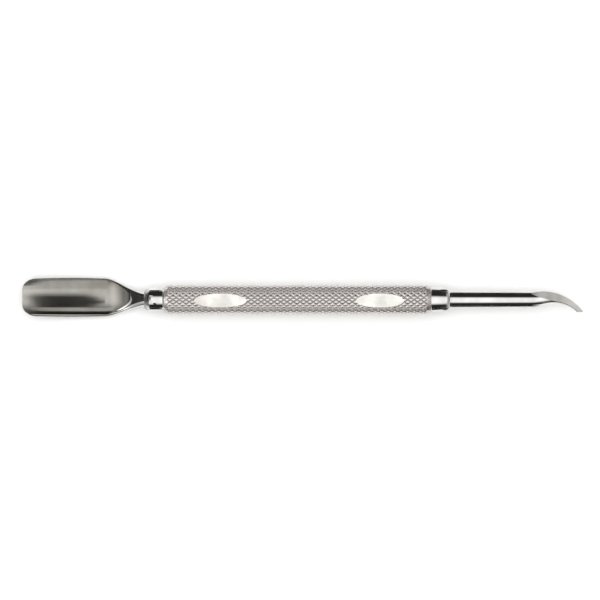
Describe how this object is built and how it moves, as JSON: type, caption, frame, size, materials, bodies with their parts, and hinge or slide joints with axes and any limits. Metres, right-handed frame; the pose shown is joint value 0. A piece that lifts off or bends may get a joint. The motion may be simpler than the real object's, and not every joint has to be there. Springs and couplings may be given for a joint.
{
  "type": "cuticle pusher",
  "caption": "Rigid double-ended steel cuticle pusher: knurled round handle with smooth ground windows, a spoon-shaped pusher on one end and a curved nail cleaner on the other.",
  "frame": {"origin": "on the handle bar's axis, at the middle of its length", "axes": "+X along the tool from the spoon to the curved cleaner, +Z the side that the spoon's bowl and the handle's windows face, +Y across; the cleaner's tip bends to -Y"},
  "size_m": [0.1271, 0.0088, 0.0064],
  "materials": {
    "knurled_steel": "diamond-knurled bar with smooth ground windows",
    "polished_steel": "mirror polished",
    "satin_steel": "satin, lightly polished lengthwise"
  },
  "bodies": {
    "root": {"handle": "knurled_steel", "spoon_collar": "polished_steel", "cleaner_collar": "polished_steel", "spoon_pusher": "satin_steel", "curved_cleaner": "polished_steel"}
  },
  "joints": []
}
